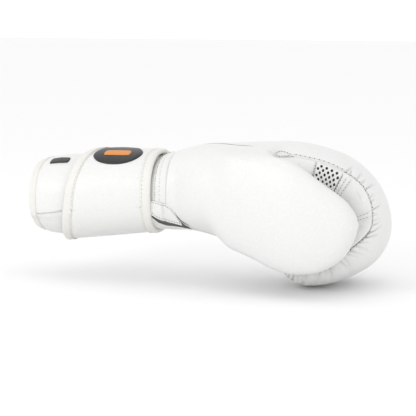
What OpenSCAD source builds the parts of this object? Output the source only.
// Left-hand training glove with a long hook-and-loop cuff.
// Frame: origin at the centre of the cuff mouth, +X towards the knuckles, +Z out of the back of
// the hand, thumb on the -Y side. Millimetres.

/* [Overall] */
// Length from the cuff mouth to the knuckle front
glove_l = 340; // [323:1:357]
// Height from the fingertips underneath to the highest point of the back
glove_h = 135; // [129:1:141]
// Width across the four knuckles, without the thumb
fist_w = 122; // [116:1:128]

/* [Layers] */
// Thickness of the outer leather
leather_t = 1.3; // [1:0.1:1.6]
// Thickness of the sewn lining
lining_t = 1; // [0.6:0.1:1.2]
// Thickness of the cuff foam
cuff_foam_t = 5.4; // [4:0.2:7]
// Share of the knuckle padding that is the soft outer layer
soft_share = 0.5; // [0.35:0.05:0.65]

/* [Strap] */
// Thickness of the strap: leather, foam core and backing
strap_t = 4; // [3:0.2:5]
// Width of the woven tape folded over the strap edges
tape_w = 9.5; // [7:0.5:12]
// Angle round the cuff at which the strap is sewn on
strap_root_a = 310; // [300:1:320]
// Angle round the cuff at which the free end stops
strap_tip_a = 52; // [46:1:66]

/* [Palm] */
// Diameter of the grip bar
grip_bar_d = 12; // [9:1:13]
// Length of the grip bar
grip_bar_l = 52; // [44:1:56]

/* [Hidden] */

// Scale of each direction against the pattern the outlines below were drawn at
sx = glove_l / 340;
sy = fist_w / 122;
sz = glove_h / 135;

oval = 2 / 2.4;         // power that turns a circle into the squarish oval of a padded section
gap = 0.4;              // room between one layer and the next
steps = 2;              // lofted rings between two drawn stations
leather = "white";
foam = "gainsboro";
lining = "whitesmoke";
tape = "ivory";

// ---- Curves ---------------------------------------------------------------------------------

function spow(v, e) = sign(v) * pow(abs(v), e);

// A smooth curve through rows a, b, c, d, at share t between b and c.
function between(a, b, c, d, t) =
    0.5 * (2 * b + (c - a) * t + (2 * a - 5 * b + 4 * c - d) * t * t
        + (3 * b - a - 3 * c + d) * t * t * t);

// More rows between the drawn ones.
function refine(rows, n = steps) = let (last = len(rows) - 1) [
    for (i = [0:last - 1]) for (k = [0:n - 1])
        between(rows[max(i - 1, 0)], rows[i], rows[i + 1], rows[min(i + 2, last)], k / n),
    rows[last]
];

// The row of a table at length x, for tables whose first column is x.
function row_at(rows, x, i = 0) =
    i >= len(rows) - 2 || x <= rows[i + 1][0]
        ? let (t = (x - rows[i][0]) / (rows[i + 1][0] - rows[i][0]))
            rows[i] + (rows[i + 1] - rows[i]) * t
        : row_at(rows, x, i + 1);

// ---- Lofts ----------------------------------------------------------------------------------

function side_faces(n, m, loop) = [
    for (i = [0:n - (loop ? 1 : 2)]) for (j = [0:m - 1])
        let (a = i * m + j, b = i * m + (j + 1) % m, k = (i + 1) % n,
            c = k * m + (j + 1) % m, d = k * m + j)
            each [[a, d, c], [a, c, b]]
];

function fan_faces(first, m, back) = [
    for (j = [1:m - 2]) back
        ? [first, first + j + 1, first + j] : [first, first + j, first + j + 1]
];

function strip_faces(first, m, back) = [
    for (j = [0:m / 2 - 2])
        let (a = first + j, b = a + 1, c = first + m - 2 - j, d = c + 1)
            each back ? [[a, c, b], [a, d, c]] : [[a, b, c], [a, c, d]]
];

function turned(faces) = [for (f = faces) [f[0], f[2], f[1]]];

// A solid through rings of equal count. kind "solid" has flat ends, "shell" has ends made of an
// outer and an inner arc, "tube" joins its last ring to its first, and "cup" runs from the
// outside of the closed end to the mouth and back inside.
module loft(rings, kind = "solid") {
    n = len(rings);
    m = len(rings[0]);
    ends = kind == "tube" ? []
        : kind == "shell"
            ? concat(strip_faces(0, m, false), strip_faces((n - 1) * m, m, true))
            : concat(fan_faces(0, m, false), fan_faces((n - 1) * m, m, true));
    faces = concat(side_faces(n, m, kind == "tube"), ends);
    polyhedron([for (r = rings) each r], kind == "cup" ? turned(faces) : faces);
}

function reversed(list) = [for (i = [len(list) - 1:-1:0]) list[i]];

// ---- Fist: rows of [outer x, z, inner x, z, centre y, half width, pad outside, pad inside] ----

fist_rows = [
    [197, 56, 197, -38, 10, 49, 30, 8],
    [233, 57.3, 228, -38, 8, 57, 38, 8],
    [268, 54.5, 249, -35, 6, 60, 40, 8],
    [298, 44.5, 261, -31, 5, 61, 40, 8],
    [323, 24, 267, -29, 4, 61, 40, 8],
    [337, -1, 269, -32, 4, 60, 40, 8],
    [340, -29, 268, -38, 4, 58, 38, 8],
    [329, -53, 264, -44, 4, 55, 32, 8],
    [306, -69, 258, -47, 4, 52, 24, 7],
    [281, -77, 252, -49, 4, 48, 18, 6],
    [262, -77.5, 247, -52, 4, 42, 15, 6],
    [249, -73, 242, -56, 4, 31, 10, 5],
    [241, -66.5, 239, -63, 4, 14, 2, 1.9]
];
pocket_rows = 10;       // the finger pocket ends at this row
side_pad = 12;          // padding at the sides of the fist

// A point on the fist at angle a: 0 is the pinky side, 90 outside, 180 the thumb side, 270 the
// palm. out, in and side are the depths below the skin in those directions.
function fist_point(s, a, out, in, side) =
    let (o = [s[0] * sx, s[1] * sz], i = [s[2] * sx, s[3] * sz], n = (o - i) / norm(o - i),
        top = o - n * out, low = i + n * in, c = (top + low) / 2, h = (top - low) * n / 2,
        w = s[5] * sy - side, p = c + n * h * spow(sin(a), oval))
        [p[0], s[4] * sy + w * spow(cos(a), oval), p[1]];

fist_stations = refine(fist_rows);

// A panel of the fist between angles a0 and a1 and two depths.
module fist_panel(a0, a1, d0, d1, count = 10, stations = fist_stations) {
    loft([for (s = stations) [
        for (j = [0:count]) fist_point(s, a0 + (a1 - a0) * j / count, d0, d0, d0),
        for (j = [count:-1:0]) fist_point(s, a0 + (a1 - a0) * j / count, d1, d1, d1)
    ]], "shell");
}

function pocket_point(s, a, extra) =
    fist_point(s, a, s[6] - extra, s[7] - extra, side_pad * sy - extra);
function pocket_ring(s, extra, m = 20) = [for (j = [0:m - 1]) pocket_point(s, 360 * j / m, extra)];

pocket_stations = [for (i = [0:steps * (pocket_rows - 1)]) fist_stations[i]];
skin = leather_t + gap;

// A point inside the padding, at a share of the way from the leather to the lining.
function pad_point(s, a, share) =
    let (p = fist_point(s, a, skin, skin, skin), q = pocket_point(s, a, lining_t + gap))
        p + (q - p) * share;

// A layer of padding between two shares of its depth.
module pad_layer(share0, share1, a0, a1, stations, count = 14) {
    loft([for (s = stations) [
        for (j = [0:count]) pad_point(s, a0 + (a1 - a0) * j / count, share0),
        for (j = [count:-1:0]) pad_point(s, a0 + (a1 - a0) * j / count, share1)
    ]], "shell");
}
knuckle_stations = [for (i = [0:len(fist_stations) - 1 - steps]) fist_stations[i]];

// Stations from the first to the last of a block, drawn in a little from its neighbours.
function block(stations, first, last) = [
    for (i = [first:last])
        i == first && i > 0 ? stations[i] + (stations[i + 1] - stations[i]) * 0.03
            : i == last ? stations[i] + (stations[i - 1] - stations[i]) * 0.03 : stations[i]
];

// Padding cut into blocks so that it bends: marks are stations, turns are angles.
module pad_blocks(share0, share1, marks, turns, stations, count) {
    for (g = [0:len(marks) - 2]) for (t = [0:len(turns) - 2])
        pad_layer(share0, share1, turns[t] + block_gap, turns[t + 1] - block_gap,
            block(stations, marks[g], marks[g + 1]), count);
}
block_gap = 0.25;       // half the angle between two blocks

module fist_leather() color(leather) fist_panel(18.2, 161.8, 0, leather_t, 14);
module grip_leather() color(leather) fist_panel(225.2, 314.8, 0, leather_t, 8);
module thumb_side_leather() color(leather) fist_panel(162.2, 224.8, 0, leather_t, 6);
module pinky_side_leather() color(leather) fist_panel(-44.8, 17.8, 0, leather_t, 6);
module knuckle_foam_soft() color(foam) pad_layer(0, soft_share, 10, 170, knuckle_stations);
module knuckle_foam_firm() color("silver") {
    pad_blocks(soft_share + 0.02, 1, [0, 4, 6, 8, 10, 12, 14, 16, 19, 22], [52, 128],
        knuckle_stations, 4);
    for (side = [10, 128])
        pad_blocks(soft_share + 0.02, 1, [0, 6, 10, 14, 22], [side, side + 42],
            knuckle_stations, 4);
}

// Thin padding behind the palm side and the two sides of the finger pocket.
module finger_foam() color(foam) {
    pad_blocks(0, 1, [0, 6, 8, 10, 12, 18], [232, 308], pocket_stations, 4);
    for (side = [171, 308])
        pad_blocks(0, 1, [0, 6, 10, 14, 18], [side, side + 61], pocket_stations, 5);
}

module finger_lining() color(lining)
    loft(concat(
        reversed([for (s = pocket_stations) pocket_ring(s, lining_t)]),
        [for (i = [0:len(pocket_stations) - 2]) pocket_ring(pocket_stations[i], 0)]
    ), "cup");

module grip_bar() color(foam)
    translate([240 * sx, 8 * sy, -24.5 * sz + grip_bar_d / 2])
        rotate([-90, 0, 0]) cylinder(d = grip_bar_d, h = grip_bar_l, center = true, $fn = 32);

// Perforated patch on the thumb side of the finger pocket.
module vent_patch() color("lightgray")
    fist_panel(167, 196, -0.9, -0.25, 6, [for (i = [4:8]) fist_stations[i]]);

// Reinforcing patch sewn where the thumb branches off the fist.
module crotch_patch() color(leather)
    fist_panel(147, 161, -1, -0.25, 4, [for (i = [2:4]) fist_stations[i]]);

// ---- Hand: rows of [x, z top, z bottom, y thumb side, y pinky side, pad above, pad below] -----

hand_rows = [
    [131.5, 45.5, -29, -45, 45.5, 11, 7],
    [143, 49.5, -29, -45.5, 46, 14, 7],
    [158, 53, -29.5, -54, 49.5, 19, 7],
    [175, 55.5, -32.5, -62.5, 54, 24, 7.5],
    [196, 56, -38, -71.5, 58.5, 30, 8]
];
hand_side_pad = 9;

function hand_ring(s, out, in, side, a0 = 0, a1 = 360, m = 36) = [
    for (j = [0:m - (a1 - a0 == 360 ? 1 : 0)]) let (a = a0 + (a1 - a0) * j / m)
        [s[0] * sx,
            (s[3] + s[4]) / 2 * sy + ((s[4] - s[3]) / 2 * sy - side) * spow(cos(a), oval),
            (s[1] * sz - out + s[2] * sz + in) / 2
                + (s[1] * sz - out - s[2] * sz - in) / 2 * spow(sin(a), oval)]
];

function hand_stations() = hand_rows;

module hand_tube(d0, to_lining) loft(concat(
    [for (s = hand_stations()) hand_ring(s, d0, d0, d0)],
    reversed([for (s = hand_stations())
        hand_ring(s, s[5] - to_lining, s[6] - to_lining, hand_side_pad - to_lining)])
), "tube");

module hand_panel(a0, a1, m) loft([for (s = hand_stations()) concat(
    hand_ring(s, 0, 0, 0, a0, a1, m),
    reversed(hand_ring(s, leather_t, leather_t, leather_t, a0, a1, m))
)], "shell");

module back_leather() color(leather) hand_panel(0.5, 225, 24);
module palm_leather() color(leather) hand_panel(225.5, 360, 15);
module hand_foam() color(foam) hand_tube(skin, lining_t + gap);

module hand_lining() color(lining) loft(concat(
    [for (s = hand_stations()) hand_ring(s, s[5] - lining_t, s[6] - lining_t,
        hand_side_pad - lining_t)],
    reversed([for (s = hand_stations()) hand_ring(s, s[5], s[6], hand_side_pad)])
), "tube");

// Piped seam where the hand meets the wrist.
welt_span = [129.8, 131.2];
module wrist_welt() color(leather) loft(concat(
    [for (x = welt_span) hand_ring(welt_row(x), -0.6, -0.6, -0.6)],
    [for (x = reversed(welt_span)) hand_ring(welt_row(x), 3, 3, 3)]
), "tube");
function welt_row(x) = concat([x], [for (i = [1:6]) hand_rows[0][i]]);

// ---- Cuff: rows of [x, z top, z bottom, half width, slit half angle] --------------------------

cuff_rows = [
    [0, 34.5, -34.5, 45.5, 17],
    [8, 38, -37, 48.5, 16],
    [22, 40.2, -38, 49.5, 14],
    [45, 40.6, -33.8, 49, 11],
    [80, 41, -29.5, 47, 8],
    [108, 41, -26.5, 45.5, 6],
    [120, 41, -27, 45, 6]
];
cuff_end = 120;
hand_start = 131.5;
cuff_wall = leather_t + gap + cuff_foam_t + gap + lining_t;

// A point on the cuff at angle a, d outside its leather: 90 is the back, 180 the thumb side.
function cuff_point(x, a, d) = let (s = row_at(cuff_rows, x))
    [x * sx, (s[3] * sy + d) * spow(cos(a), oval),
        (s[1] + s[2]) / 2 * sz + ((s[1] - s[2]) / 2 * sz + d) * spow(sin(a), oval)];

// A patch on the cuff: x from x0 to x1, angle from a0 to a1, d from d0 outside to d1 inside.
function patch_ring(x, a0, a1, d0, d1, m) = concat(
    [for (j = [0:m]) cuff_point(x, a0 + (a1 - a0) * j / m, d0)],
    [for (j = [m:-1:0]) cuff_point(x, a0 + (a1 - a0) * j / m, d1)]
);

// The cuff wall goes from the pinky edge of the slit round the back to its thumb edge.
module cuff_layer(d0, d1, x0 = 0.2, x1 = cuff_end, m = 28) loft([
    for (x = concat([x0], [for (s = cuff_rows) if (s[0] > x0 && s[0] < x1) s[0]], [x1]))
        let (half = row_at(cuff_rows, x)[4] + 4) patch_ring(x, half - 90, 270 - half, d0, d1, m)
], "shell");

module slit_tape(side) loft([
    for (x = [0.2, 8, 22, 45, 80, 108, cuff_end]) let (half = row_at(cuff_rows, x)[4])
        side > 0 ? patch_ring(x, half - 90, half - 86.2, 0.5, -cuff_wall, 2)
            : patch_ring(x, 266.2 - half, 270 - half, 0.5, -cuff_wall, 2)
], "shell");

module cuff_leather() color(leather) cuff_layer(0, -leather_t);
module cuff_foam() color(foam) cuff_layer(-skin, -skin - cuff_foam_t);
module cuff_lining() color(lining) cuff_layer(-skin - cuff_foam_t - gap, -cuff_wall);
module mouth_binding() color(tape) loft([for (x = [-3, 0])
    let (half = cuff_rows[0][4])
        patch_ring(x, half - 90, 270 - half, 0.7 + x / 4, -cuff_wall - 0.5 - x / 4, 28)], "shell");
module slit_binding_thumb_side() color(tape) slit_tape(-1);
module slit_binding_pinky_side() color(tape) slit_tape(1);

// Stretch panel that closes the slit from inside.
module slit_gusset() color(lining) loft([
    for (x = [4, 8, 22, 45, 80, 108, 117])
        patch_ring(x, 243, 297, -cuff_wall - gap, -cuff_wall - gap - 1.4, 14)
], "shell");

module loop_patch() color("snow")
    loft([for (x = [56, 80, 106]) patch_ring(x, 58, 128, 0.85, 0.2, 10)], "shell");
module cuff_label() color("black")
    loft([for (x = [16, 22, 38]) patch_ring(x, 104, 120, 0.8, 0.15, 4)], "shell");

// Soft leather that joins the cuff to the hand.
module wrist_gusset() color(leather)
    loft(concat(
        [for (t = [0:0.25:1]) wrist_ring(t, 0)], [for (t = [1:-0.25:0]) wrist_ring(t, 2.4)]
    ), "tube");
function wrist_ring(t, d) =
    let (a = row_at(cuff_rows, cuff_end), b = hand_rows[0], f = t * t * (3 - 2 * t),
        pinch = 1.5 * sin(180 * t))
        hand_ring([cuff_end + 0.3 + 9.2 * t, a[1] + (b[1] - a[1]) * f, a[2] + (b[2] - a[2]) * f,
            -a[3] + (b[3] + a[3]) * f, a[3] + (b[4] - a[3]) * f], d + pinch, d + pinch,
            d + pinch);

// ---- Strap ----------------------------------------------------------------------------------

low_hinge_a = 230;      // the strap bends away from the wrist here
top_hinge_a = 152;      // its end peels off the back of the cuff here
hinge_gap = 0.35;       // half the angle left open at a bend
strap_in = 2.2;         // height of its backing above the cuff leather
backing_t = 0.8;
ply_gap = 0.1;          // room between the plies of the strap

function strap_x0(a) = 48 - (a - 90) * 25.5 / 180;
function strap_x1(a) = 118.5 + 1.5 * sin(a - 90);

// A band of the strap between two angles, two shares of its width given as edge offsets, and
// two heights above the cuff.
module band(a0, a1, from0, in0, from1, in1, d0, d1) {
    count = max(3, round(abs(a1 - a0) / 9));
    loft([for (k = [0:3]) [
        for (j = [0:count]) let (a = a0 + (a1 - a0) * j / count)
            cuff_point(band_x(a, k / 3, from0, in0, from1, in1), a, d1),
        for (j = [count:-1:0]) let (a = a0 + (a1 - a0) * j / count)
            cuff_point(band_x(a, k / 3, from0, in0, from1, in1), a, d0)
    ]], "shell");
}
function band_x(a, t, from0, in0, from1, in1) =
    let (e = [strap_x0(a), strap_x1(a)], x0 = e[from0] + in0, x1 = e[from1] + in1)
        x0 + (x1 - x0) * t;

root_span = [low_hinge_a + hinge_gap, strap_root_a];
side_span = [top_hinge_a + hinge_gap, low_hinge_a - hinge_gap];
end_span = [strap_tip_a + 5, top_hinge_a - hinge_gap];

module strap_body(span, d0, d1) band(span[0], span[1], 0, tape_w, 1, -tape_w, d0, d1);
module strap_leather(span)
    strap_body(span, strap_in + strap_t - leather_t, strap_in + strap_t);
module strap_core(span)
    strap_body(span, strap_in + backing_t + ply_gap, strap_in + strap_t - leather_t - ply_gap);
module strap_backing(span) strap_body(span, strap_in, strap_in + backing_t);
module strap_tapes(span) {
    band(span[0], span[1], 0, 0, 0, tape_w - 0.02, strap_in - 0.1, strap_in + strap_t + 0.4);
    band(span[0], span[1], 1, 0.02 - tape_w, 1, 0, strap_in - 0.1, strap_in + strap_t + 0.4);
}

module strap_root_leather() color(leather) strap_leather(root_span);
module strap_root_core() color(foam) strap_core(root_span);
module strap_root_backing() color(lining) strap_backing(root_span);
module strap_root_tapes() color(tape) strap_tapes(root_span);
module strap_side_leather() color(leather) strap_leather(side_span);
module strap_side_core() color(foam) strap_core(side_span);
module strap_side_backing() color(lining) strap_backing(side_span);
module strap_side_tapes() color(tape) strap_tapes(side_span);
module strap_end_leather() color(leather) strap_leather(end_span);
module strap_end_core() color(foam) strap_core(end_span);
module strap_end_backing() color(lining) strap_backing(end_span);
module strap_end_tapes() color(tape) strap_tapes(end_span);
module strap_tip_tape() color(tape)
    band(strap_tip_a, strap_tip_a + 4.9, 0, 0, 1, 0, strap_in - 0.1, strap_in + strap_t + 0.4);
module hook_patch() color("snow")
    loft([for (x = [58, 80, 104]) patch_ring(x, 60, 124, strap_in - 0.25, strap_in - 0.95, 10)],
        "shell");

// Oval badge moulded over the top edge of the strap.
badge_x = 81;
badge_a = 111;
function badge_ring(t, width, arc, d0, d1) =
    let (half = arc * sqrt(max(0, 1 - pow(2 * t - 1, 2))) + 1.5)
        patch_ring(badge_x + width * (t - 0.5), badge_a - half, badge_a + half,
            strap_in + strap_t + d1, strap_in + strap_t + d0, 6);
module badge_disc() color("black")
    loft([for (t = [0, 0.06, 0.2, 0.4, 0.6, 0.8, 0.94, 1]) badge_ring(t, 48, 22, 0.2, 1)],
        "shell");
module badge_bar() color("darkorange")
    loft([for (t = [0, 0.1, 0.5, 0.9, 1]) badge_ring(t, 30, 6, 1.15, 1.7)], "shell");

// ---- Thumb: rows of [x, centre z, half height, centre y, half thickness] ----------------------

thumb_rows = [
    [202, 7, 44.5, -58.6, 16],
    [221, 3.8, 48.8, -64.3, 16.5],
    [243, -0.8, 52.3, -69.7, 16.8],
    [263, -5.5, 51, -73.5, 16.5],
    [288, -12, 41, -75.7, 15.2],
    [308, -13, 28, -74.5, 12.5],
    [318, -11, 14.5, -73, 8.5],
    [322.5, -9, 4, -72.5, 3]
];
// The pocket the thumb goes in, in the same columns.
thumb_pocket_rows = [
    [202, 2, 19, -57.6, 10.5],
    [243, -4, 17, -67.5, 10.5],
    [278, -10, 14, -73.2, 9.5],
    [295, -12, 7, -74, 6]
];

function thumb_point(s, d, a) =
    [s[0] * sx, s[3] * sy + (s[4] - d) * spow(cos(a), oval),
        s[1] * sz + (s[2] * sz - d) * spow(sin(a), oval)];
function thumb_ring(s, d, m = 24) = [for (j = [0:m - 1]) thumb_point(s, d, 360 * j / m)];
function shortened(s, d) = [s[0] - d, s[1], s[2], s[3], s[4]];
thumb_stations = refine(thumb_rows);
thumb_skin = [for (i = [0:len(thumb_stations) - 1]) let (s = thumb_stations[i])
    i < len(thumb_stations) - 1 ? s : shortened(s, leather_t)];
thumb_pocket = refine(thumb_pocket_rows);

module thumb_leather() color(leather) loft(concat(
    reversed([for (s = thumb_stations) thumb_ring(s, 0)]),
    [for (s = thumb_skin) thumb_ring(s, leather_t)]
), "cup");

// A block of thumb padding through the stations at xs, from angle a0, between the leather and
// the lining.
module thumb_block(xs, a0, m = 6) loft([
    for (x = xs) let (s = row_at(thumb_stations, x), p = row_at(thumb_pocket, x)) concat(
        [for (j = [0:m]) thumb_point(s, skin + 0.2, a0 + 0.4 + 89.2 * j / m)],
        [for (j = [m:-1:0]) thumb_point(p, -lining_t - 0.7, a0 + 0.4 + 89.2 * j / m)]
    )], "shell");
module thumb_foam() color(foam) {
    for (a = [-45, 45, 135, 225]) {
        thumb_block([202.3, 211.5, 222.3], a);
        thumb_block([222.7, 232, 242.8], a);
        thumb_block([243.2, 253, 260.3], a);
        thumb_block([260.7, 269, 277.8], a);
        thumb_block([278.2, 286.5, 296.6], a);
    }
    loft([for (s = thumb_tip) thumb_ring(s, skin + 0.2)], "solid");
}
thumb_tip = concat([row_at(thumb_stations, 297)],
    [for (s = thumb_stations) if (s[0] > 298 && s[0] < 321) s]);
module thumb_lining() color(lining) loft(concat(
    reversed([for (s = thumb_pocket) thumb_ring(s, -lining_t)]),
    [for (i = [0:len(thumb_pocket) - 2]) thumb_ring(thumb_pocket[i], 0)]
), "cup");

// Soft leather ring at the root of the thumb.
module thumb_gusset() color(leather) loft(concat(
    [for (t = [0, 0.5, 1]) thumb_ring(root_row(t), 1.5 * sin(180 * t))],
    [for (t = [1, 0.5, 0]) thumb_ring(root_row(t), 3.6)]
), "tube");
function root_row(t) = let (s = thumb_rows[0], narrow = 1.4 * (1 - t))
    [196.4 + 5.2 * t, s[1], s[2] - narrow, s[3] + narrow, s[4] - 0.3];

// ---- Nodes ----------------------------------------------------------------------------------

back_leather();
palm_leather();
hand_foam();
hand_lining();
wrist_welt();
wrist_gusset();
fist_leather();
grip_leather();
thumb_side_leather();
pinky_side_leather();
knuckle_foam_soft();
knuckle_foam_firm();
finger_foam();
finger_lining();
grip_bar();
vent_patch();
crotch_patch();
thumb_leather();
thumb_foam();
thumb_lining();
thumb_gusset();
cuff_leather();
cuff_foam();
cuff_lining();
mouth_binding();
slit_binding_thumb_side();
slit_binding_pinky_side();
slit_gusset();
loop_patch();
cuff_label();
strap_root_leather();
strap_root_core();
strap_root_backing();
strap_root_tapes();
strap_side_leather();
strap_side_core();
strap_side_backing();
strap_side_tapes();
strap_end_leather();
strap_end_core();
strap_end_backing();
strap_end_tapes();
strap_tip_tape();
hook_patch();
badge_disc();
badge_bar();
